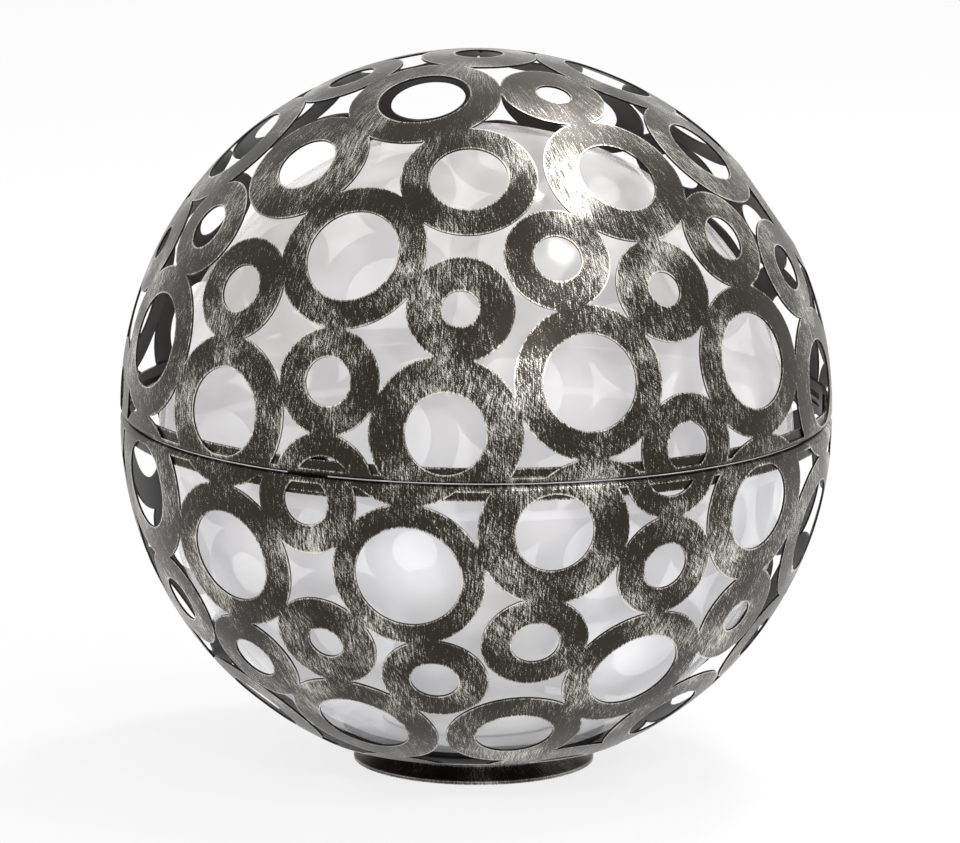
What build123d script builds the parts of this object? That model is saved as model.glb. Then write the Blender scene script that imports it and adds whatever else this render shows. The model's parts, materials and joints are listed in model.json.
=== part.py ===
from build123d import *
from math import cos, degrees, radians, sin, sqrt
import os

os.makedirs("parts", exist_ok=True)

# Garden globe light: a pierced steel shell in two halves round a milky globe, lit from a
# battery light unit that stands in the globe's floor. Millimetres, +Z up, ground at z = 0.
# Longitudes are in degrees from the front (-Y), growing towards +X.

# Pierced shell
shell_radius = 140.0
sheet = 0.8
skirt = 2.8  # from the seam to the centre of each dome
seam_gap = 0.4  # between the rolled lips of the two halves
floor_radius = 62.0  # flat floor of the lower half
foot_height = 11.5  # ground to the underside of that floor

# Ring pattern: half angles of the rings and holes, seen from the dome's centre
small_ring = 8.6
medium_ring = 10.9
large_ring = 12.3
crown_ring = 9.3
pin_hole = 2.85
eye_hole = 3.85
seam_hole = 4.9
medium_hole = 6.2
low_hole = 7.0
large_hole = 7.4
wide_hole = 7.65

# Each row: degrees from a fold of the pattern, degrees above the seam, ring, hole.
# The pattern has three turns and folds every 60 degrees, so a row between two folds
# comes in mirrored pairs.
pattern_turns = 3
ring_start = 35.0  # degrees off the meridian where each ring's outline starts
ring_rows = {
    "seam_small": (0, -2.7, small_ring, seam_hole),
    "low_small": (0, 13.9, small_ring, eye_hole),
    "mid_large": (0, 34.5, large_ring, wide_hole),
    "high_large": (0, 68.7, large_ring, large_hole),
    "low_large": (19.8, 6.8, large_ring, low_hole),
    "mid_small": (21.7, 26.5, small_ring, eye_hole),
    "high_medium": (22.4, 49.7, medium_ring, medium_hole),
    "shoulder_small": (40, 34.6, small_ring, eye_hole),
    "shoulder_large": (43.3, 14.5, large_ring, wide_hole),
    "cap_large": (43.3, -9.6, large_ring, large_hole),
    "fold_seam_small": (60, 3.0, small_ring, eye_hole),
    "fold_mid_small": (60, 28.1, small_ring, pin_hole),
    "fold_large": (60, 48.6, large_ring, large_hole),
    "fold_high_small": (60, 69.1, small_ring, eye_hole),
}
upper_fold = -24.6  # longitude of the first fold of each half
lower_fold = 32.4

# Holes punched to another size than their row's, by row, turn and side of the fold
upper_odd_holes = {
    ("low_large", 0, 1): 6.4,
    ("mid_small", 0, 1): 2.9,
    ("high_medium", 0, -1): 5.1,
    ("fold_large", 0, 1): 6.6,
    ("fold_high_small", 0, 1): 2.8,
}
lower_odd_holes = {
    ("low_large", 0, -1): 6.3,
    ("mid_small", 0, 1): 2.8,
    ("shoulder_large", 0, -1): 8.5,
}

# Rim bands and locating tabs, behind the seam
band_thickness = 1.0
band_setback = 2.6  # from the seam to the near edge of each band
upper_band_height = 3.8
lower_band_height = 3.8
tab_count = 3
tab_longitude = -28.0
tab_width = 17.0
tab_thickness = 1.0
tab_rise = 8.5  # above the seam
tab_drop = 7.8  # below the seam
tab_play = 0.4  # from the lips

# Foot
foot_sheet = 1.2
foot_play = 1.3  # from the washer to the foot's wall
foot_flare_width = 7.5  # flange beyond the neck
foot_flare = 4.2  # height of the flared flange
foot_flare_bow = 0.8  # hollow of the flare
foot_top_width = 6.0

# Globe
globe_space = 14.0  # between the sheet and the globe
globe_drop = 12.0  # globe's centre below the seam
globe_wall = 2.5
globe_joint_drop = 5.0  # globe's joint below its centre
globe_tongue = 3.0
globe_joint_play = 0.1
globe_gasket_thickness = 1.5
globe_gasket_width = 12.0

# Light unit: barrel, flange, nut
barrel_room = 1.04  # from the switch's corners to the barrel
barrel_wall = 2.0
barrel_play = 0.5  # round the barrel in both floors
ground_clearance = 3.0
base_thickness = 2.5
deck_thickness = 2.0
flange_width = 8.0
flange_thickness = 2.5
housing_gasket_thickness = 1.0
washer_thickness = 1.0
washer_width = 9.0
nut_height = 5.5
nut_width = 8.0
nut_play = 0.1
nut_notch_count = 6
nut_notch = 4.0

# Batteries and their cassette
cell_count = 4
cell_radius = 5.25
cell_length = 44.5
cell_nub_radius = 1.9
cell_nub_height = 0.8
cell_play = 0.25
contact_thickness = 0.4
contact_bump = 0.8
contact_radius = 3.2
rivet_radius = 1.2
cassette_end = 2.0
cassette_rim = 1.4  # cells to the cassette's outside
cassette_core_radius = 2.0
cassette_rib_width = 3.0
cassette_rib_depth = 2.4
cassette_play = 0.4
tube_wall = 1.6

# Battery cover
cover_play = 0.3
cover_overlap = 1.6  # cover's radius over the cassette's
cover_boss_step = 1.2
lug_reach = 2.4
lug_thickness = 1.5
lug_root = 1.2  # each lug's depth in the boss
lug_sweep = 26.0
lug_count = 2
lug_stop_sweep = 5.0
lug_stop_play = 1.5  # in degrees
cover_turn = 35.0  # from locked to the notches
coin_slot_length = 15.0
coin_slot_width = 1.8
coin_slot_depth = 1.0
seal_radius = 0.6
seal_play = 0.1

# Switch
switch_length = 12.0
switch_width = 5.2
switch_height = 5.0
switch_play = 0.3
slider_length = 3.4
slider_width = 2.4
slider_travel = 4.0
slider_reach = 1.2  # below the housing
slider_depth = 2.0  # inside the switch

# Lamp board, contacts and lens
board_edge = 2.0  # from the board to the barrel
board_thickness = 1.6
board_lift = 4.0
emitter_count = 4
emitter_size = 3.5
emitter_height = 0.8
emitter_circle = 11.0
driver_length = 5.0
driver_width = 4.0
driver_height = 1.5
screw_count = 3
screw_edge = 5.5  # from each screw's axis to the board's edge
screw_radius = 1.2
screw_length = 5.0
screw_head_radius = 2.3
screw_head_height = 1.4
screw_play = 0.1
boss_radius = 3.0
strip_width = 3.0
strip_spacing = 7.0
strip_play = 0.3
lens_wall = 1.6
lens_rise = 9.0
lens_seat = 2.5
lens_rim_width = 5.0
lens_play = 0.1
wall_above_board = 4.0

# Sizes that follow from the ones above
inner_radius = shell_radius - sheet
seam_height = foot_height + skirt + sqrt(shell_radius**2 - floor_radius**2)
upper_centre = seam_height + skirt
lower_centre = seam_height - skirt
lip_bend = skirt - seam_gap / 2
floor_top = foot_height + sheet
floor_edge_radius = sqrt(shell_radius**2 - (lower_centre - floor_top) ** 2)
band_radius = sqrt(inner_radius**2 - (band_setback + upper_band_height - skirt) ** 2)
tab_foot_radius = band_radius - band_thickness
tab_head_radius = shell_radius - lip_bend - tab_play

globe_radius = inner_radius - globe_space
globe_centre = seam_height - globe_drop
globe_joint = globe_centre - globe_joint_drop
globe_split_radius = sqrt(globe_radius**2 - globe_joint_drop**2) - globe_wall / 2
globe_base = floor_top + globe_gasket_thickness
globe_floor_top = globe_base + globe_wall
globe_floor_radius = sqrt(globe_radius**2 - (globe_centre - globe_base) ** 2)

base_top = ground_clearance + base_thickness

cell_circle = (cell_radius + cell_play) / sin(radians(180 / cell_count))
link_length = 2 * (cell_radius + cell_play)
link_place = cell_radius + cell_play
cassette_radius = cell_circle + cell_radius + cassette_rim
cover_radius = cassette_radius + cover_overlap
cover_bore = cover_radius + cover_play
lug_base = base_top + cover_play
lug_top = lug_base + lug_thickness
notch_radius = cover_bore + lug_reach
lug_stop_base = base_top - base_thickness / 2
cassette_base = lug_top + cover_play
cell_base = cassette_base + cassette_end + contact_thickness + contact_bump
cell_top = cell_base + cell_length
cassette_top = cell_top + contact_bump + contact_thickness + cassette_end
tube_radius = cassette_radius + cassette_play
deck_base = cassette_top + cover_play
deck_top = deck_base + deck_thickness
board_base = deck_top + board_lift
board_top = board_base + board_thickness
housing_top = board_top + wall_above_board
switch_place = notch_radius + switch_play + switch_width / 2
barrel_bore = sqrt((switch_length / 2) ** 2 + (switch_place + switch_width / 2) ** 2) + barrel_room
barrel_radius = barrel_bore + barrel_wall
barrel_hole = barrel_radius + barrel_play
flange_base = globe_floor_top + housing_gasket_thickness
nut_top = foot_height - washer_thickness
foot_inner_radius = barrel_hole + washer_width + foot_play
foot_neck_radius = foot_inner_radius + foot_sheet
foot_radius = foot_neck_radius + foot_flare_width
board_radius = barrel_bore - board_edge
screw_circle = board_radius - screw_edge
lens_radius = (barrel_radius**2 + lens_rise**2) / (2 * lens_rise)


def save(piece, name):
    """Labels a finished piece and writes its file."""
    piece.part.label = name
    export_step(piece.part, f"parts/{name}.step")


def upright(longitude, height=0.0):
    """Plane through the axis: x points outward at the longitude, y points up."""
    turn = radians(longitude)
    return Plane(
        origin=(0, 0, height),
        x_dir=(sin(turn), -cos(turn), 0),
        z_dir=(-cos(turn), -sin(turn), 0),
    )


def ring_band(centre, longitude, latitude, ring, hole):
    """One ring of the pierced sheet, turned about its own axis through the dome's centre."""
    meridian = upright(longitude, centre)
    aim = meridian.x_dir * cos(radians(latitude)) + Vector(0, 0, sin(radians(latitude)))
    ring_axis = Axis(meridian.origin, aim)
    with BuildPart() as band:
        with BuildSketch(Plane(meridian.origin, aim, meridian.z_dir.rotate(ring_axis, ring_start))):
            with BuildLine():
                outside = CenterArc((0, 0), shell_radius, hole, ring - hole)
                inside = CenterArc((0, 0), inner_radius, hole, ring - hole)
                Line(outside @ 0, inside @ 0)
                Line(outside @ 1, inside @ 1)
            make_face()
        revolve(axis=ring_axis)
    return band.part


def ring_bands(centre, fold, up, odd_holes):
    """All rings of one half; up is 1 for the upper half and -1 for the lower."""
    bands = [ring_band(centre, 0, 90 * up, crown_ring, eye_hole)]
    turn_angle = 360 / pattern_turns
    for row, (offset, latitude, ring, hole) in ring_rows.items():
        sides = (1,) if offset in (0, turn_angle / 2) else (1, -1)
        for turn in range(pattern_turns):
            for side in sides:
                longitude = fold + turn_angle * turn + side * offset
                punched = odd_holes.get((row, turn, side), hole)
                bands.append(ring_band(centre, longitude, up * latitude, ring, punched))
    return bands


def add_lip(centre, start_angle):
    """Adds the rolled lip of one half: a quarter round from the sheet in to the seam."""
    with BuildSketch(Plane.XZ) as lip:
        with BuildLine():
            bend = CenterArc((shell_radius - lip_bend, centre), lip_bend, start_angle, 90)
            inner_bend = CenterArc((shell_radius - lip_bend, centre), lip_bend - sheet, start_angle, 90)
            Line(bend @ 0, inner_bend @ 0)
            Line(bend @ 1, inner_bend @ 1)
        make_face()
    revolve(lip.sketch, axis=Axis.Z)


def add_washer(base, height, outer, inner):
    """Adds a flat ring round the axis to the piece being built."""
    with BuildSketch(Plane.XY.offset(base)) as ring:
        Circle(outer)
        Circle(inner, mode=Mode.SUBTRACT)
    extrude(ring.sketch, amount=height)


def add_sector(longitude, sweep, outer, inner, base, top, mode=Mode.ADD):
    """Adds or cuts a stretch of flat ring, centred on a longitude."""
    with BuildSketch(upright(longitude - sweep / 2)) as section:
        with Locations((inner, base)):
            Rectangle(outer - inner, top - base, align=(Align.MIN, Align.MIN))
    revolve(section.sketch, axis=Axis.Z, revolution_arc=sweep, mode=mode)


def cell_place(index):
    """Centre of a battery, counted round from the first."""
    turn = radians((index + 0.5) * 360 / cell_count)
    return (cell_circle * cos(turn), cell_circle * sin(turn))


# ---- Upper half of the shell: rings cut level with the dome's centre, on a rolled lip
upper_rings = ring_bands(upper_centre, upper_fold, 1, upper_odd_holes)
with BuildPart() as upper_shell:
    add(upper_rings)
    split(bisect_by=Plane.XY.offset(upper_centre), keep=Keep.TOP)
    add_lip(upper_centre, -90)
save(upper_shell, "upper_shell")

with BuildPart() as upper_rim_band:
    add_washer(seam_height + band_setback, upper_band_height, band_radius, band_radius - band_thickness)
save(upper_rim_band, "upper_rim_band")

# ---- Lower half: the same rings upside down, a flat floor, and a hole for the light unit
lower_rings = ring_bands(lower_centre, lower_fold, -1, lower_odd_holes)
with BuildPart() as lower_shell:
    add(lower_rings)
    split(bisect_by=Plane.XY.offset(lower_centre), keep=Keep.BOTTOM)
    split(bisect_by=Plane.XY.offset(floor_top), keep=Keep.TOP)
    add_lip(lower_centre, 0)
    with Locations((0, 0, foot_height + sheet / 2)):
        Cone(floor_radius, floor_edge_radius, sheet)
    with Locations((0, 0, floor_top)):
        Hole(barrel_hole)
save(lower_shell, "lower_shell")

lower_band_base = seam_height - band_setback - lower_band_height
with BuildPart() as lower_rim_band:
    add_washer(lower_band_base, lower_band_height, band_radius, band_radius - band_thickness)
save(lower_rim_band, "lower_rim_band")

# ---- Locating tabs: welded inside the lower band, joggled inward to pass both lips
tab_joggle_top = seam_height - band_setback
tab_joggle_base = tab_joggle_top - (tab_foot_radius - tab_head_radius)
tab_sweep = degrees(tab_width / tab_head_radius)
for index in range(tab_count):
    longitude = tab_longitude + index * 360 / tab_count
    with BuildPart() as locating_tab:
        with BuildSketch(upright(longitude - tab_sweep / 2)):
            with BuildLine():
                Polyline(
                    (tab_foot_radius, seam_height - tab_drop),
                    (tab_foot_radius, tab_joggle_base),
                    (tab_head_radius, tab_joggle_top),
                    (tab_head_radius, seam_height + tab_rise),
                    (tab_head_radius - tab_thickness, seam_height + tab_rise),
                    (tab_head_radius - tab_thickness, tab_joggle_top),
                    (tab_foot_radius - tab_thickness, tab_joggle_base),
                    (tab_foot_radius - tab_thickness, seam_height - tab_drop),
                    close=True,
                )
            make_face()
        revolve(axis=Axis.Z, revolution_arc=tab_sweep)
    save(locating_tab, f"locating_tab_{index + 1}")

# ---- Foot: a spun collar under the shell's floor, flared to a flange that rests on the ground
foot_inner_edge = (foot_radius - foot_sheet, 0)
foot_outer_edge = (foot_radius, foot_sheet)
flare_inner_top = (foot_inner_radius, foot_flare)
flare_outer_top = (foot_neck_radius, foot_flare + foot_sheet)
with BuildPart() as foot_ring:
    with BuildSketch(Plane.XZ):
        with BuildLine():
            Polyline(foot_outer_edge, (foot_radius, 0), foot_inner_edge)
            SagittaArc(foot_inner_edge, flare_inner_top, foot_flare_bow)
            Polyline(
                flare_inner_top,
                (foot_inner_radius, foot_height),
                (foot_neck_radius + foot_top_width, foot_height),
                (foot_neck_radius + foot_top_width, foot_height - foot_sheet),
                (foot_neck_radius, foot_height - foot_sheet),
                flare_outer_top,
            )
            SagittaArc(flare_outer_top, foot_outer_edge, -foot_flare_bow)
        make_face()
    revolve(axis=Axis.Z)
save(foot_ring, "foot_ring")

# ---- Globe: two moulded halves with a tongued joint, standing on a soft ring
with BuildPart() as globe_gasket:
    add_washer(
        floor_top, globe_gasket_thickness, globe_floor_radius, globe_floor_radius - globe_gasket_width
    )
save(globe_gasket, "globe_gasket")

low_corner = (Align.MIN, Align.MIN)
with BuildPart() as globe_lower:
    with BuildSketch(Plane.XZ):
        with Locations((0, globe_centre)):
            Circle(globe_radius)
        with Locations((0, globe_base)):
            Rectangle(globe_radius, globe_joint - globe_base, align=low_corner, mode=Mode.INTERSECT)
    revolve(axis=Axis.Z)
    with BuildSketch(Plane.XZ):
        with Locations((0, globe_centre)):
            Circle(globe_radius - globe_wall)
        with Locations((0, globe_floor_top)):
            Rectangle(globe_radius, globe_joint - globe_floor_top, align=low_corner, mode=Mode.INTERSECT)
    revolve(axis=Axis.Z, mode=Mode.SUBTRACT)
    with Locations((0, 0, globe_floor_top)):
        Hole(barrel_hole)
    add_washer(
        globe_joint - globe_wall / 2,
        globe_tongue + globe_wall / 2 - globe_joint_play,
        globe_split_radius - globe_joint_play,
        globe_radius - globe_wall,
    )
save(globe_lower, "globe_lower")

with BuildPart() as globe_upper:
    with BuildSketch(Plane.XZ):
        with Locations((0, globe_centre)):
            Circle(globe_radius)
            Circle(globe_radius - globe_wall, mode=Mode.SUBTRACT)
        with Locations((0, globe_joint)):
            Rectangle(globe_radius, 2 * globe_radius, align=low_corner, mode=Mode.INTERSECT)
            Rectangle(globe_split_radius, globe_tongue, align=low_corner, mode=Mode.SUBTRACT)
    revolve(axis=Axis.Z)
save(globe_upper, "globe_upper")

# ---- Light unit: flange inside the globe, barrel down through both floors, nut from below
with BuildPart() as housing_gasket:
    add_washer(globe_floor_top, housing_gasket_thickness, barrel_radius + flange_width, barrel_hole)
save(housing_gasket, "housing_gasket")

deck_slots = [(side * strip_spacing / 2, switch_place) for side in (1, -1)]
feed_slots = [cell_place(0), cell_place(cell_count - 1)]
with BuildPart() as light_housing:
    add_washer(ground_clearance, housing_top - ground_clearance, barrel_radius, barrel_bore)
    add_washer(flange_base, flange_thickness, barrel_radius + flange_width, barrel_bore)
    with BuildSketch(Plane.XY.offset(ground_clearance)):
        Circle(barrel_bore)
        Circle(cover_bore, mode=Mode.SUBTRACT)
        with Locations((0, switch_place)):
            Rectangle(
                slider_length + slider_travel + 2 * switch_play,
                slider_width + 2 * switch_play,
                mode=Mode.SUBTRACT,
            )
    extrude(amount=base_thickness)
    with BuildSketch(Plane.XY.offset(deck_base)):
        Circle(barrel_bore)
        with Locations(*deck_slots):
            Rectangle(strip_width + strip_play, contact_thickness + strip_play, mode=Mode.SUBTRACT)
        with Locations(*feed_slots):
            Rectangle(strip_width + strip_play, contact_thickness + strip_play, mode=Mode.SUBTRACT)
    extrude(amount=deck_thickness)
    add_washer(cassette_base, deck_base - cassette_base, tube_radius + tube_wall, tube_radius)
    with BuildSketch(Plane.XY.offset(deck_top)):
        with PolarLocations(screw_circle, screw_count):
            Circle(boss_radius)
            Circle(screw_radius + screw_play, mode=Mode.SUBTRACT)
    extrude(amount=board_lift)
    for index in range(lug_count):
        locked = index * 360 / lug_count
        half = (lug_sweep + lug_stop_sweep) / 2 + lug_stop_play
        add_sector(
            locked + cover_turn,
            lug_sweep + lug_stop_play,
            notch_radius,
            cover_bore - cover_play,
            ground_clearance - cover_play,
            base_top + cover_play,
            mode=Mode.SUBTRACT,
        )
        for stop in (locked - half, locked + cover_turn + half):
            add_sector(stop, lug_stop_sweep, notch_radius, cover_bore + cover_play, lug_stop_base, lug_top)
save(light_housing, "light_housing")

with BuildPart() as nut_washer:
    add_washer(nut_top, washer_thickness, barrel_hole + washer_width, barrel_hole)
save(nut_washer, "nut_washer")

with BuildPart() as retaining_nut:
    with BuildSketch(Plane.XY.offset(nut_top - nut_height)):
        Circle(barrel_radius + nut_width)
        Circle(barrel_radius + nut_play, mode=Mode.SUBTRACT)
        with PolarLocations(barrel_radius + nut_width, nut_notch_count):
            Rectangle(nut_notch, nut_notch, mode=Mode.SUBTRACT)
    extrude(amount=nut_height)
save(retaining_nut, "retaining_nut")

# ---- Battery cassette with its cells, links and end contacts
with BuildPart() as battery_cassette:
    for end_base in (cassette_base, cassette_top - cassette_end):
        with BuildSketch(Plane.XY.offset(end_base)):
            Circle(cassette_radius)
        extrude(amount=cassette_end)
    with BuildSketch(Plane.XY.offset(cassette_base)):
        Circle(cassette_core_radius)
        with PolarLocations(cassette_radius - cassette_rib_depth / 2 - cell_play, cell_count):
            Rectangle(cassette_rib_depth, cassette_rib_width)
    extrude(amount=cassette_top - cassette_base)
    with BuildSketch(Plane.XY.offset(cassette_top - cassette_end)):
        with Locations(*feed_slots):
            Circle(rivet_radius)
    extrude(amount=cassette_end, mode=Mode.SUBTRACT)
save(battery_cassette, "battery_cassette")

for index in range(cell_count):
    nub_up = index % 2 == 0
    x, y = cell_place(index)
    body_base = cell_base if nub_up else cell_base + cell_nub_height
    with BuildPart() as battery_cell:
        with BuildSketch(Plane.XY.offset(body_base)):
            with Locations((x, y)):
                Circle(cell_radius)
        extrude(amount=cell_length - cell_nub_height)
        with BuildSketch(Plane.XY.offset(cell_base)):
            with Locations((x, y)):
                Circle(cell_nub_radius)
        extrude(amount=cell_length)
    save(battery_cell, f"battery_cell_{index + 1}")

lower_plate = cassette_base + cassette_end
upper_plate = cassette_top - cassette_end - contact_thickness
lower_links = [((0, link_place), (0, 1)), ((0, -link_place), (2, 3))]
for index, (middle, cells) in enumerate(lower_links):
    with BuildPart() as lower_link:
        with BuildSketch(Plane.XY.offset(lower_plate)):
            with Locations(middle):
                SlotCenterToCenter(link_length, 2 * contact_radius)
        extrude(amount=contact_thickness)
        with BuildSketch(Plane.XY.offset(lower_plate + contact_thickness)):
            with Locations(*[cell_place(cell) for cell in cells]):
                Circle(rivet_radius)
        extrude(amount=contact_bump)
    save(lower_link, f"lower_link_{index + 1}")

with BuildPart() as upper_link:
    with BuildSketch(Plane.XY.offset(upper_plate)):
        with Locations((-link_place, 0)):
            SlotCenterToCenter(link_length, 2 * contact_radius, rotation=90)
    extrude(amount=contact_thickness)
    with BuildSketch(Plane.XY.offset(upper_plate)):
        with Locations(cell_place(1), cell_place(2)):
            Circle(rivet_radius)
    extrude(amount=-contact_bump)
save(upper_link, "upper_link")

for index, place in enumerate(feed_slots):
    with BuildPart() as end_contact:
        with BuildSketch(Plane.XY.offset(upper_plate)):
            with Locations(place):
                Circle(contact_radius)
        extrude(amount=contact_thickness)
        with BuildSketch(Plane.XY.offset(upper_plate - contact_bump)):
            with Locations(place):
                Circle(rivet_radius)
        extrude(amount=cassette_top - upper_plate + contact_bump)
    save(end_contact, f"end_contact_{index + 1}")

    with BuildPart() as feed_strip:
        with BuildSketch(Plane.XY.offset(cassette_top)):
            with Locations(place):
                Rectangle(strip_width, contact_thickness)
        extrude(amount=board_base - cassette_top)
    save(feed_strip, f"feed_strip_{index + 1}")

# ---- Lamp board on its posts
with BuildPart() as lamp_board:
    with BuildSketch(Plane.XY.offset(board_base)):
        Circle(board_radius)
        with PolarLocations(screw_circle, screw_count):
            Circle(screw_radius + screw_play, mode=Mode.SUBTRACT)
    extrude(amount=board_thickness)
save(lamp_board, "lamp_board")

for index in range(emitter_count):
    turn = radians(index * 360 / emitter_count)
    with BuildPart() as emitter:
        with BuildSketch(Plane.XY.offset(board_top)):
            with Locations((emitter_circle * cos(turn), emitter_circle * sin(turn))):
                Rectangle(emitter_size, emitter_size)
        extrude(amount=emitter_height)
    save(emitter, f"emitter_{index + 1}")

with BuildPart() as driver_chip:
    with BuildSketch(Plane.XY.offset(board_top)):
        Rectangle(driver_length, driver_width)
    extrude(amount=driver_height)
save(driver_chip, "driver_chip")

with BuildPart() as board_screws:
    with BuildSketch(Plane.XY.offset(board_top - screw_length)):
        with PolarLocations(screw_circle, screw_count):
            Circle(screw_radius)
    extrude(amount=screw_length)
    with BuildSketch(Plane.XY.offset(board_top)):
        with PolarLocations(screw_circle, screw_count):
            Circle(screw_head_radius)
    extrude(amount=screw_head_height)
save(board_screws, "board_screws")

with BuildPart() as lens:
    with Locations((0, 0, housing_top + lens_rise - lens_radius)):
        Sphere(lens_radius)
        Sphere(lens_radius - lens_wall, mode=Mode.SUBTRACT)
    split(bisect_by=Plane.XY.offset(housing_top), keep=Keep.TOP)
    add_washer(housing_top, lens_wall, barrel_radius, barrel_radius - lens_rim_width)
    lens_spigot = barrel_bore - lens_play
    add_washer(housing_top - lens_seat, lens_seat + lens_wall, lens_spigot, lens_spigot - lens_wall)
save(lens, "lens")

# ---- Battery cover: turns on two lugs, with a coin slot below and a seal round its rim
with BuildPart() as battery_cover:
    with BuildSketch(Plane.XY.offset(ground_clearance)):
        Circle(cover_radius)
    extrude(amount=base_thickness)
    with BuildSketch(Plane.XY.offset(base_top)):
        Circle(cover_radius - cover_boss_step)
    extrude(amount=lug_top - base_top)
    for index in range(lug_count):
        add_sector(
            index * 360 / lug_count,
            lug_sweep,
            cover_radius + lug_reach,
            cover_radius - cover_boss_step - lug_root,
            lug_base,
            lug_top,
        )
    with BuildSketch(Plane.XY.offset(ground_clearance)):
        SlotOverall(coin_slot_length, coin_slot_width)
    extrude(amount=coin_slot_depth, mode=Mode.SUBTRACT)
    with Locations((0, 0, ground_clearance + base_thickness / 2)):
        Torus(cover_bore - seal_play - seal_radius, seal_radius, mode=Mode.SUBTRACT)
save(battery_cover, "battery_cover")

with BuildPart() as cover_seal:
    with Locations((0, 0, ground_clearance + base_thickness / 2)):
        Torus(cover_bore - seal_play - seal_radius, seal_radius)
save(cover_seal, "cover_seal")

# ---- Slide switch behind the cover, with two strips up to the lamp board
with BuildPart() as switch_body:
    with BuildSketch(Plane.XY.offset(base_top)):
        with Locations((0, switch_place)):
            Rectangle(switch_length, switch_width)
    extrude(amount=switch_height)
    with BuildSketch(Plane.XY.offset(base_top)):
        with Locations((0, switch_place)):
            Rectangle(slider_length + slider_travel + 2 * switch_play, slider_width + 2 * switch_play)
    extrude(amount=slider_depth + switch_play, mode=Mode.SUBTRACT)
save(switch_body, "switch_body")

with BuildPart() as switch_slider:
    with BuildSketch(Plane.XY.offset(ground_clearance - slider_reach)):
        with Locations((-slider_travel / 2, switch_place)):
            Rectangle(slider_length, slider_width)
    extrude(amount=slider_reach + base_thickness + slider_depth)
save(switch_slider, "switch_slider")

strip_base = base_top + switch_height
for index, place in enumerate(deck_slots):
    with BuildPart() as switch_strip:
        with BuildSketch(Plane.XY.offset(strip_base)):
            with Locations(place):
                Rectangle(strip_width, contact_thickness)
        extrude(amount=board_base - strip_base)
    save(switch_strip, f"switch_strip_{index + 1}")
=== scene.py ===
import json
import math

import bmesh
import bpy
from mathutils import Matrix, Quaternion, Vector


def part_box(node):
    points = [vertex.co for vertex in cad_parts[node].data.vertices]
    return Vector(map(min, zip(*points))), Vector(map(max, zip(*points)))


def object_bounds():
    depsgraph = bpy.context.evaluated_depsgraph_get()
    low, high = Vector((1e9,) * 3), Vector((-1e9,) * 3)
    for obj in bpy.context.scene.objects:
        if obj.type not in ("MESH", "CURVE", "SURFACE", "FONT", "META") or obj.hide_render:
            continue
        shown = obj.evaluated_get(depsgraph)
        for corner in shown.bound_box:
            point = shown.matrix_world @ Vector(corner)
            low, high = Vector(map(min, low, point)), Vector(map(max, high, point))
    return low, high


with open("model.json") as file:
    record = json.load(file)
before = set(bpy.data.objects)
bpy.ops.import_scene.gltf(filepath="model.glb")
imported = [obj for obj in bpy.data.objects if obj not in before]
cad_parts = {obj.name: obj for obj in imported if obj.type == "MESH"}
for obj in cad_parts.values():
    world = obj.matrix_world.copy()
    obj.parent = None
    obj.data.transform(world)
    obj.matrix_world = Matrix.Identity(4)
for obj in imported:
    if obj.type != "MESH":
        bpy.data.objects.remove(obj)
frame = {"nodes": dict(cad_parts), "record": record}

cadLow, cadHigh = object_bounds()
print("frame loaded:", len(frame["nodes"]), "nodes")

millimetre = 0.001
seamHeight = (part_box("upper_shell")[0].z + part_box("lower_shell")[1].z) / 2
shellRadius = (cadHigh.x - cadLow.x) / 2
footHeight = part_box("foot_ring")[1].z


def colour(hexCode):
    # sRGB hex to linear
    channels = [int(hexCode[start:start + 2], 16) / 255 for start in (1, 3, 5)]
    return [c / 12.92 if c < 0.04045 else ((c + 0.055) / 1.055) ** 2.4 for c in channels] + [1]


def addNode(tree, kind, settings=None, links=None):
    # settings go to the node itself or, by name or number, to its sockets
    node = tree.nodes.new(kind)
    for name, value in (settings or {}).items():
        if isinstance(name, str) and hasattr(node, name):
            setattr(node, name, value)
        else:
            node.inputs[name].default_value = value
    for name, source in (links or {}).items():
        tree.links.new(source, node.inputs[name])
    return node


def newMaterial(name):
    material = bpy.data.materials.new(name)
    material.use_nodes = True
    tree = material.node_tree
    tree.nodes.clear()
    shader = addNode(tree, "ShaderNodeBsdfPrincipled")
    addNode(tree, "ShaderNodeOutputMaterial", links={"Surface": shader.outputs[0]})
    return material, tree, shader


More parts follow.
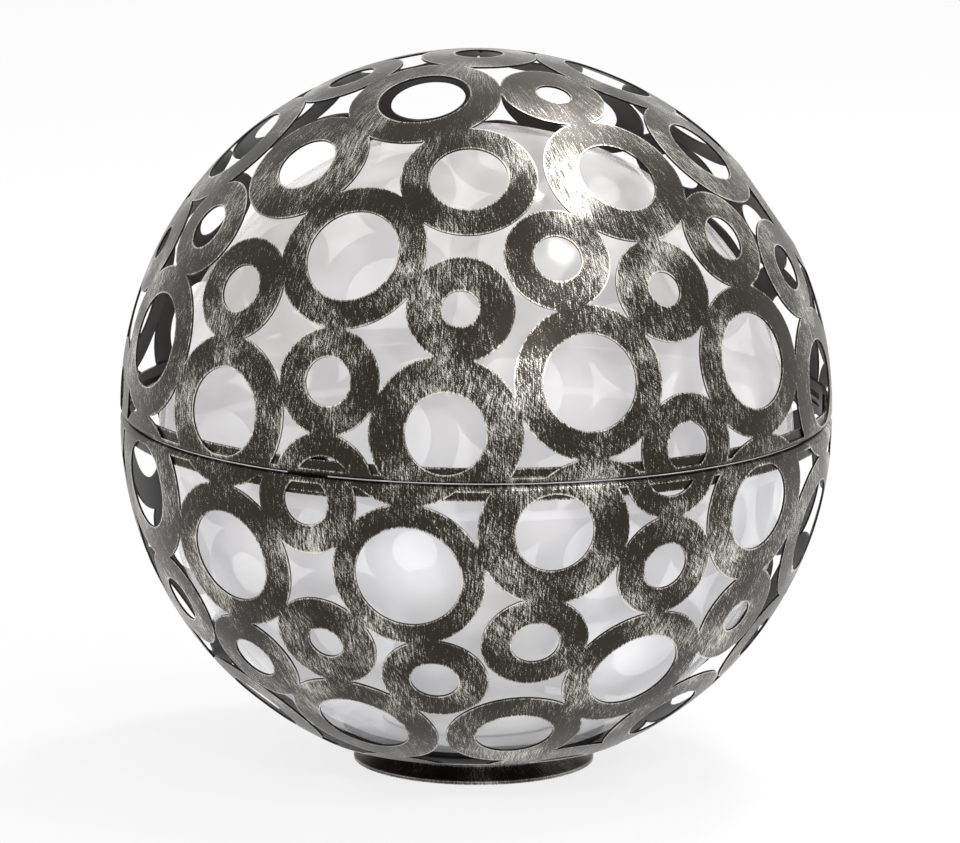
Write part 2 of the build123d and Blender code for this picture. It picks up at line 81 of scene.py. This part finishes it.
# Sheet steel in dark pewter lacquer, dry-brushed by hand with silver: thin bright marks down the
# meridians, a few across them, and the most silver where the brush met a cut edge.
pewter = {
    "lacquer": "#272118",
    "inside": "#221d1b",
    "silver": "#e5e1d8",
    "markWidth": 0.34 * millimetre,  # real marks are finer, perhaps 0.2 mm, drawn coarser so that they show
    "markLength": 4.0 * millimetre,
    "crossTwist": 7.0,  # radians a metre, which slants the crossing marks
    "crossShare": 0.38,  # how much of the marks crosses
    "markDepth": 0.04 * millimetre,
    "markSoftness": (-0.04, 0.09),  # from bare lacquer to full silver, around the cover of the piece
    "wander": 2.5 * millimetre,  # sideways wander of the marks
    "wanderSize": 20 * millimetre,
    "patchSize": 26 * millimetre,
    "speckSize": 0.4 * millimetre,
    "edgeWidth": 1.5 * millimetre,
    "edgeTurn": (0.998, 0.93),  # cosine to the rounded normal where an edge begins and is full
    "outsideTurn": (0.15, 0.5),  # cosine to the way outwards where the brush began to reach and reached
    "patchLift": 0.48,
    "speckLift": 0.30,
    "edgeLift": 0.13,
    "lacquerRoughness": 0.36,
    "silverRoughness": 0.32,
    "coat": 0.15,
    "coatRoughness": 0.32,
    # More silver in places, part of it painted highlight: where, how far it reaches (mm) and how much it
    # adds. These were matched to the photograph's brightness, so a second brushing there is a guess. An
    # empty list leaves them out.
    "silverAndPaintedHighlights": [
        ((35, -79, 252), 28, 0.14),  # painted highlight: a lamp's reflection on the real one, not silver
        ((44, -108, 220), 24, 0.02),
        ((21, -133, 179), 26, 0.04),
        ((62, -115, 193), 24, 0.03),
        ((82, -34, 251), 26, 0.08),
        ((90, -99, 185), 24, 0.07),
        ((42, -110, 61), 22, 0.09),
        ((-106, -85, 104), 32, 0.06),
    ],
}
# how each piece was brushed: how much of a mark it takes to leave silver, how metallic it looks,
# and the height on the axis that its outside faces away from
brushing = {
    "shell": {"cover": 0.592, "metallic": 0.8, "centre": seamHeight},
    # the band and tabs behind the rings take less silver, partly as painted shade from the rings in front
    # of them
    "band": {"cover": 0.65, "metallic": 0.8, "centre": seamHeight},
    "foot": {"cover": 0.60, "metallic": 0.3, "centre": -3 * footHeight},
}


def makePewter(name, brushed):
    material, tree, shader = newMaterial(name)
    position = addNode(tree, "ShaderNodeTexCoord").outputs["Object"]
    surface = addNode(tree, "ShaderNodeNewGeometry")
    fromCentre = addNode(tree, "ShaderNodeVectorMath",
                         {"operation": "SUBTRACT", 1: (0, 0, brushed["centre"])},
                         {0: position}).outputs[0]
    outward = addNode(tree, "ShaderNodeVectorMath", {"operation": "NORMALIZE"},
                      {0: fromCentre}).outputs[0]
    facing = addNode(tree, "ShaderNodeVectorMath", {"operation": "DOT_PRODUCT"},
                     {0: outward, 1: surface.outputs["True Normal"]}).outputs["Value"]
    begins, reached = pewter["outsideTurn"]
    outside = addNode(tree, "ShaderNodeMapRange", {"From Min": begins, "From Max": reached},
                      {"Value": facing}).outputs[0]

    wander = addNode(tree, "ShaderNodeTexNoise", {"Scale": 1 / pewter["wanderSize"], "Detail": 1},
                     {"Vector": position}).outputs["Color"]
    span = pewter["wander"]
    shift = addNode(tree, "ShaderNodeVectorMath",
                    {"operation": "MULTIPLY_ADD", 1: (2 * span,) * 3, 2: (-span,) * 3},
                    {0: wander}).outputs[0]
    wandered = addNode(tree, "ShaderNodeVectorMath", {"operation": "ADD"},
                       {0: fromCentre, 1: shift}).outputs[0]
    height = addNode(tree, "ShaderNodeSeparateXYZ", links={0: wandered}).outputs["Z"]

    def brushMarks(twist):
        # noise on the direction round the axis, drawn out along the height and slanted by the twist
        angle = addNode(tree, "ShaderNodeMath", {"operation": "MULTIPLY", 1: twist},
                        {0: height}).outputs[0]
        turned = addNode(tree, "ShaderNodeVectorRotate", {"rotation_type": "Z_AXIS"},
                         {"Vector": wandered, "Angle": angle}).outputs[0]
        flat = addNode(tree, "ShaderNodeVectorMath", {"operation": "MULTIPLY", 1: (1, 1, 0)},
                       {0: turned}).outputs[0]
        around = addNode(tree, "ShaderNodeVectorMath", {"operation": "NORMALIZE"},
                         {0: flat}).outputs[0]
        up = addNode(tree, "ShaderNodeCombineXYZ", links={"Z": height}).outputs[0]
        upScaled = addNode(tree, "ShaderNodeVectorMath",
                           {"operation": "SCALE", "Scale": 1 / pewter["markLength"]},
                           {0: up}).outputs[0]
        marksRound = shellRadius / pewter["markWidth"]
        place = addNode(tree, "ShaderNodeVectorMath",
                        {"operation": "MULTIPLY_ADD", 1: (marksRound,) * 3},
                        {0: around, 2: upScaled}).outputs[0]
        return addNode(tree, "ShaderNodeTexNoise", {"Scale": 1, "Detail": 2, "Roughness": 0.65},
                       {"Vector": place}).outputs["Fac"]

    along = brushMarks(0)
    crossing = brushMarks(pewter["crossTwist"])
    alongShare = addNode(tree, "ShaderNodeMath",
                         {"operation": "MULTIPLY", 1: 1 - pewter["crossShare"]},
                         {0: along}).outputs[0]
    marks = addNode(tree, "ShaderNodeMath", {"operation": "MULTIPLY_ADD", 1: pewter["crossShare"]},
                    {0: crossing, 2: alongShare}).outputs[0]

    patches = addNode(tree, "ShaderNodeTexNoise", {"Scale": 1 / pewter["patchSize"], "Detail": 2},
                      {"Vector": position}).outputs["Fac"]
    specks = addNode(tree, "ShaderNodeTexNoise", {"Scale": 1 / pewter["speckSize"], "Detail": 1},
                     {"Vector": position}).outputs["Fac"]
    rounded = addNode(tree, "ShaderNodeBevel", {"samples": 8, "Radius": pewter["edgeWidth"]})
    turn = addNode(tree, "ShaderNodeVectorMath", {"operation": "DOT_PRODUCT"},
                   {0: rounded.outputs[0], 1: surface.outputs["Normal"]}).outputs["Value"]
    begins, full = pewter["edgeTurn"]
    edge = addNode(tree, "ShaderNodeMapRange",
                   {"From Min": begins, "From Max": full, "To Max": pewter["edgeLift"]},
                   {"Value": turn}).outputs[0]

    # the silver taken up: marks, lifted in patches, by specks, at edges, and at the listed spots, which are
    # partly painted highlight
    lifted = addNode(tree, "ShaderNodeMath", {"operation": "MULTIPLY_ADD", 1: pewter["patchLift"]},
                     {0: patches, 2: marks}).outputs[0]
    lifted = addNode(tree, "ShaderNodeMath", {"operation": "MULTIPLY_ADD", 1: pewter["speckLift"]},
                     {0: specks, 2: lifted}).outputs[0]
    lifted = addNode(tree, "ShaderNodeMath", {"operation": "ADD"}, {0: lifted, 1: edge}).outputs[0]
    # each listed spot adds silver, partly as a painted highlight
    for place, reach, lift in pewter["silverAndPaintedHighlights"]:
        spot = [length * millimetre for length in place]
        away = addNode(tree, "ShaderNodeVectorMath", {"operation": "DISTANCE", 1: spot},
                       {0: position}).outputs["Value"]
        over = addNode(tree, "ShaderNodeMapRange",
                       {"From Min": reach * millimetre, "From Max": 0, "To Max": lift},
                       {"Value": away}).outputs[0]
        lifted = addNode(tree, "ShaderNodeMath", {"operation": "ADD"},
                         {0: lifted, 1: over}).outputs[0]
    middle = brushed["cover"] + 0.5 * (pewter["patchLift"] + pewter["speckLift"])  # noise averages 0.5
    bare, silverFull = pewter["markSoftness"]
    taken = addNode(tree, "ShaderNodeMapRange",
                    {"From Min": middle + bare, "From Max": middle + silverFull},
                    {"Value": lifted}).outputs[0]
    silvered = addNode(tree, "ShaderNodeMath", {"operation": "MULTIPLY"},
                       {0: taken, 1: outside}).outputs[0]

    ground = addNode(tree, "ShaderNodeMix",
                     {"data_type": "RGBA", 6: colour(pewter["inside"]), 7: colour(pewter["lacquer"])},
                     {0: outside}).outputs[2]
    base = addNode(tree, "ShaderNodeMix", {"data_type": "RGBA", 7: colour(pewter["silver"])},
                   {0: silvered, 6: ground}).outputs[2]
    rough = addNode(tree, "ShaderNodeMapRange",
                    {"To Min": pewter["lacquerRoughness"], "To Max": pewter["silverRoughness"]},
                    {"Value": silvered}).outputs[0]
    bump = addNode(tree, "ShaderNodeBump", {"Strength": 0.3, "Distance": pewter["markDepth"]},
                   {"Height": marks}).outputs[0]
    tree.links.new(base, shader.inputs["Base Color"])
    tree.links.new(rough, shader.inputs["Roughness"])
    tree.links.new(bump, shader.inputs["Normal"])
    shader.inputs["Metallic"].default_value = brushed["metallic"]
    shader.inputs["Coat Weight"].default_value = pewter["coat"]
    shader.inputs["Coat Roughness"].default_value = pewter["coatRoughness"]
    return material


# Moulded milky polypropylene: smooth and softly glossy, with a painted glow in place of the light it
# scatters, so the whole globe is pale even inside the shell; the far rings show faintly through it
globe = {
    "upper": "#f4efec",
    "lower": "#eef0f5",
    "alpha": 0.40,
    "roughness": 0.12,
    "glow": 0.29,  # painted glow: emission in place of the light scattered inside the globe
    "mottleSize": 55 * millimetre,
    "tintSpread": 0.25,  # how strongly the tint follows the height: painted light, warm above and cool below
}


def makeMilkyPlastic():
    material, tree, shader = newMaterial("milkyPolypropylene")
    position = addNode(tree, "ShaderNodeTexCoord").outputs["Object"]
    height = addNode(tree, "ShaderNodeSeparateXYZ", links={0: position}).outputs["Z"]
    cloud = addNode(tree, "ShaderNodeTexNoise", {"Scale": 1 / globe["mottleSize"], "Detail": 1},
                    {"Vector": position}).outputs["Fac"]
    spread = globe["tintSpread"]
    # painted light: warmer towards the top and cooler towards the bottom, broken by a random cloud
    rise = addNode(tree, "ShaderNodeMapRange",
                   {"From Min": seamHeight - shellRadius / 2, "From Max": seamHeight + shellRadius / 2,
                    "To Min": -spread, "To Max": spread},
                   {"Value": height}).outputs[0]
    share = addNode(tree, "ShaderNodeMath", {"operation": "ADD", "use_clamp": True},
                    {0: cloud, 1: rise}).outputs[0]
    tint = addNode(tree, "ShaderNodeMix",
                   {"data_type": "RGBA", 6: colour(globe["lower"]), 7: colour(globe["upper"])},
                   {0: share}).outputs[2]
    tree.links.new(tint, shader.inputs["Base Color"])
    # painted glow: the globe emits its own tint
    tree.links.new(tint, shader.inputs["Emission Color"])
    shader.inputs["Emission Strength"].default_value = globe["glow"]
    shader.inputs["Roughness"].default_value = globe["roughness"]
    shader.inputs["Alpha"].default_value = globe["alpha"]
    return material


# The fine grain that a mould or a mill leaves, in colour, gloss and height
grain = {
    "size": 0.4 * millimetre,
    "deeper": 0.9,  # of the colour, in the grain's hollows
    "glossSpread": 0.06,
    "depth": 0.02 * millimetre,
}


def makePlain(name, shade, roughness, metallic=0.0):
    material, tree, shader = newMaterial(name)
    position = addNode(tree, "ShaderNodeTexCoord").outputs["Object"]
    noise = addNode(tree, "ShaderNodeTexNoise", {"Scale": 1 / grain["size"], "Detail": 3},
                    {"Vector": position}).outputs["Fac"]
    deeper = [channel * grain["deeper"] for channel in colour(shade)[:3]] + [1]
    tint = addNode(tree, "ShaderNodeMix", {"data_type": "RGBA", 6: deeper, 7: colour(shade)},
                   {0: noise}).outputs[2]
    spread = grain["glossSpread"]
    rough = addNode(tree, "ShaderNodeMapRange",
                    {"To Min": roughness - spread, "To Max": roughness + spread},
                    {"Value": noise}).outputs[0]
    bump = addNode(tree, "ShaderNodeBump", {"Strength": 0.4, "Distance": grain["depth"]},
                   {"Height": noise}).outputs[0]
    tree.links.new(tint, shader.inputs["Base Color"])
    tree.links.new(rough, shader.inputs["Roughness"])
    tree.links.new(bump, shader.inputs["Normal"])
    shader.inputs["Metallic"].default_value = metallic
    return material


finishes = {
    "antique_steel": makePewter("pewterLacquerBrushedSilver", brushing["shell"]),
    "globe_plastic": makeMilkyPlastic(),
    "housing_plastic": makePlain("whiteMouldedPolycarbonate", "#e9e8e3", 0.42),
    "lens_plastic": makePlain("frostedPolycarbonate", "#f1f1f1", 0.5),
    "dark_plastic": makePlain("blackMouldedNylon", "#1c1c1d", 0.5),
    "seal_rubber": makePlain("softSealRubber", "#26262a", 0.75),
    "plain_steel": makePlain("zincPlatedSteel", "#a9abab", 0.35, metallic=1.0),
    "contact_brass": makePlain("springBrass", "#c9a45c", 0.3, metallic=1.0),
    "cell_jacket": makePlain("satinCellJacket", "#4a5560", 0.35, metallic=0.4),
    "board_laminate": makePlain("whiteCoatedLaminate", "#ececea", 0.4),
    "emitter_phosphor": makePlain("yellowPhosphorWindow", "#f0dc72", 0.25),
}
lessSilverAndPaintedShade = makePewter("pewterLacquerLessSilverAndPaintedShade", brushing["band"])
footPewter = makePewter("pewterLacquerOnSpunFoot", brushing["foot"])
slotOf = {part["node"]: part["material_slot"] for part in frame["record"]["subparts"]}
for nodeName, node in frame["nodes"].items():
    finish = finishes[slotOf[nodeName]]
    # rim bands and tabs: less silver, partly painted shade under the rings
    if nodeName.endswith("rim_band") or nodeName.startswith("locating_tab"):
        finish = lessSilverAndPaintedShade
    elif nodeName == "foot_ring":
        finish = footPewter
    node.data.materials.clear()
    node.data.materials.append(finish)
print("materials set")


studio = {
    "ambient": 0.66,
    "floorGlow": 0.8,  # share of the floor's own white, the rest is matt and takes the shadow
    "floorRadius": 6,
    "softboxes": {
        "backRight": {"place": (0.62, 0.88, 1.95), "size": (0.34, 0.34), "radiance": 50},
        "overhead": {"place": (0.79, -0.04, 1.98), "size": (0.26, 0.26), "radiance": 28},
        "frontRight": {"place": (0.9, -1.2, 1.75), "size": (0.3, 0.3), "radiance": 22},
        "besideCamera": {"place": (0.66, -1.87, 1.1), "size": (0.26, 0.26), "radiance": 34},
    },
}


def addBackdropRays(tree):
    # 1 for the rays that show the white studio itself, 0 for the light it gives
    rays = addNode(tree, "ShaderNodeLightPath").outputs
    seen = addNode(tree, "ShaderNodeMath", {"operation": "MAXIMUM"},
                   {0: rays["Is Camera Ray"], 1: rays["Is Glossy Ray"]}).outputs[0]
    return addNode(tree, "ShaderNodeMath", {"operation": "MAXIMUM"},
                   {0: seen, 1: rays["Is Transmission Ray"]}).outputs[0]


def makeFloor():
    mesh = bpy.data.meshes.new("floor")
    sheet = bmesh.new()
    bmesh.ops.create_circle(sheet, cap_ends=True, segments=96, radius=studio["floorRadius"])
    sheet.to_mesh(mesh)
    sheet.free()
    floor = bpy.data.objects.new("floor", mesh)
    bpy.context.scene.collection.objects.link(floor)
    material, tree, shader = newMaterial("whitePaperFloor")
    output = shader.outputs[0].links[0].to_node
    tree.nodes.remove(shader)
    share = addNode(tree, "ShaderNodeMath", {"operation": "MULTIPLY", 1: studio["floorGlow"]},
                    {0: addBackdropRays(tree)}).outputs[0]
    matt = addNode(tree, "ShaderNodeBsdfDiffuse", {"Color": colour("#f6f6f6")}).outputs[0]
    glow = addNode(tree, "ShaderNodeEmission", {"Color": colour("#ffffff")}).outputs[0]
    above = addNode(tree, "ShaderNodeMixShader", links={0: share, 1: matt, 2: glow}).outputs[0]
    clear = addNode(tree, "ShaderNodeBsdfTransparent").outputs[0]
    under = addNode(tree, "ShaderNodeNewGeometry").outputs["Backfacing"]
    paper = addNode(tree, "ShaderNodeMixShader", links={0: under, 1: above, 2: clear}).outputs[0]
    tree.links.new(paper, output.inputs["Surface"])
    mesh.materials.append(material)


def makeWorld():
    world = bpy.data.worlds.new("studio")
    bpy.context.scene.world = world
    world.use_nodes = True
    tree = world.node_tree
    tree.nodes.clear()
    strength = addNode(tree, "ShaderNodeMapRange", {"To Min": studio["ambient"], "To Max": 1.0},
                       {"Value": addBackdropRays(tree)}).outputs[0]
    backdrop = addNode(tree, "ShaderNodeBackground", {"Color": colour("#ffffff")}, {"Strength": strength})
    addNode(tree, "ShaderNodeOutputWorld", links={"Surface": backdrop.outputs[0]})


def addSoftbox(name, box):
    light = bpy.data.lights.new(name, "AREA")
    light.shape = "RECTANGLE"
    light.size, light.size_y = box["size"]
    light.energy = box["radiance"] * math.pi * light.size * light.size_y  # watts that give this radiance
    lamp = bpy.data.objects.new(name, light)
    lamp.location = box["place"]
    aim = Vector((0, 0, seamHeight)) - lamp.location
    lamp.rotation_euler = aim.to_track_quat("-Z", "Y").to_euler()
    bpy.context.scene.collection.objects.link(lamp)


view = {
    "distance": 3.5735,  # from the seam's centre
    "elevation": 11.657,
    "aim": (1.5 * millimetre, 0, -4.3 * millimetre),  # from the seam's centre
    "focalLength": 340.45,
    "roll": 0.45,
}


def makeCamera():
    camera = bpy.data.objects.new("camera", bpy.data.cameras.new("camera"))
    bpy.context.scene.collection.objects.link(camera)
    bpy.context.scene.camera = camera
    camera.data.lens = view["focalLength"]
    rise = math.radians(view["elevation"])
    middle = Vector((0, 0, seamHeight))
    camera.location = middle + view["distance"] * Vector((0, -math.cos(rise), math.sin(rise)))
    look = (middle + Vector(view["aim"]) - camera.location).to_track_quat("-Z", "Y")
    camera.rotation_mode = "QUATERNION"
    camera.rotation_quaternion = look @ Quaternion((0, 0, 1), math.radians(view["roll"]))


makeFloor()
makeWorld()
for boxName, box in studio["softboxes"].items():
    addSoftbox(boxName, box)
makeCamera()
bpy.context.scene.view_settings.view_transform = "Standard"
print("studio set")

bpy.context.view_layer.update()
